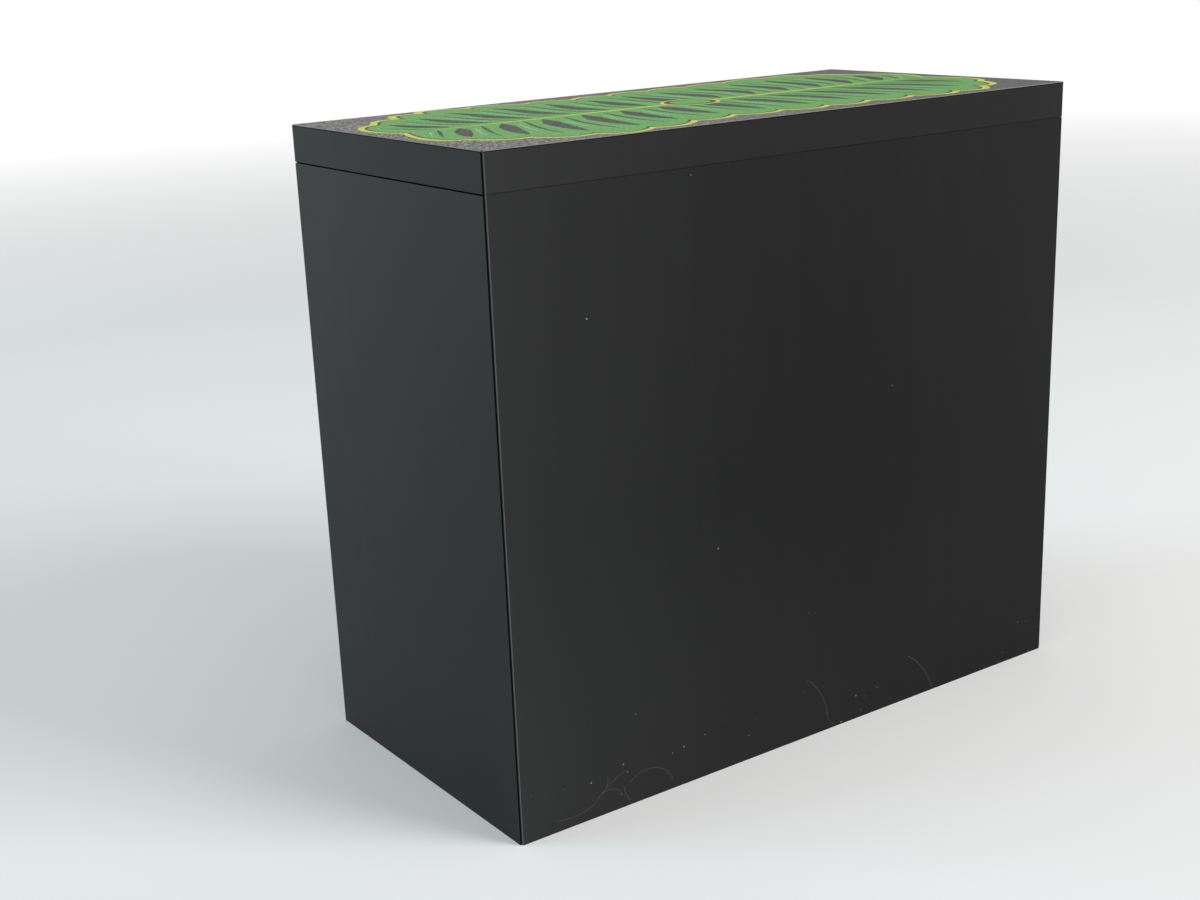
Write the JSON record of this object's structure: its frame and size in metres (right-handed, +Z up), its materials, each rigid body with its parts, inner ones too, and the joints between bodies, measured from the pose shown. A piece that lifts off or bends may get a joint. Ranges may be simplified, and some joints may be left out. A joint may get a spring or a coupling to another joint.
{
  "type": "acrylic protector case",
  "caption": "Opaque black rectangular protector case of mitred sheet, with a shallow lift-off lid held by magnets and a printed, grained top.",
  "frame": {"origin": "middle of the underside, on the surface that the case stands on", "axes": "+X along the long front, to the right as seen from the front; +Y to the rear; +Z up, the way the lid lifts"},
  "size_m": [0.15, 0.074, 0.134],
  "materials": {
    "black_acrylic": "satin",
    "print_film": "matte",
    "nickel_plate": "polished",
    "print_green": "satin",
    "print_yellow": "satin"
  },
  "bodies": {
    "case": {"base_panel": "black_acrylic", "front_panel": "black_acrylic", "rear_panel": "black_acrylic", "left_panel": "black_acrylic", "right_panel": "black_acrylic", "case_magnet_front_left": "nickel_plate", "case_magnet_front_right": "nickel_plate", "case_magnet_rear_left": "nickel_plate", "case_magnet_rear_right": "nickel_plate"},
    "lid": {"lid_top_sheet": "black_acrylic", "lid_rim_front": "black_acrylic", "lid_rim_rear": "black_acrylic", "lid_rim_left": "black_acrylic", "lid_rim_right": "black_acrylic", "lid_lip_front": "black_acrylic", "lid_lip_rear": "black_acrylic", "lid_lip_left": "black_acrylic", "lid_lip_right": "black_acrylic", "lid_magnet_front_left": "nickel_plate", "lid_magnet_front_right": "nickel_plate", "lid_magnet_rear_left": "nickel_plate", "lid_magnet_rear_right": "nickel_plate", "lid_print_film": "print_film"}
  },
  "joints": [
    {"name": "lid_lift", "type": "slide", "parent": "case", "child": "lid", "axis": [0, 0, 1], "range_m": [0, 0.13]}
  ]
}
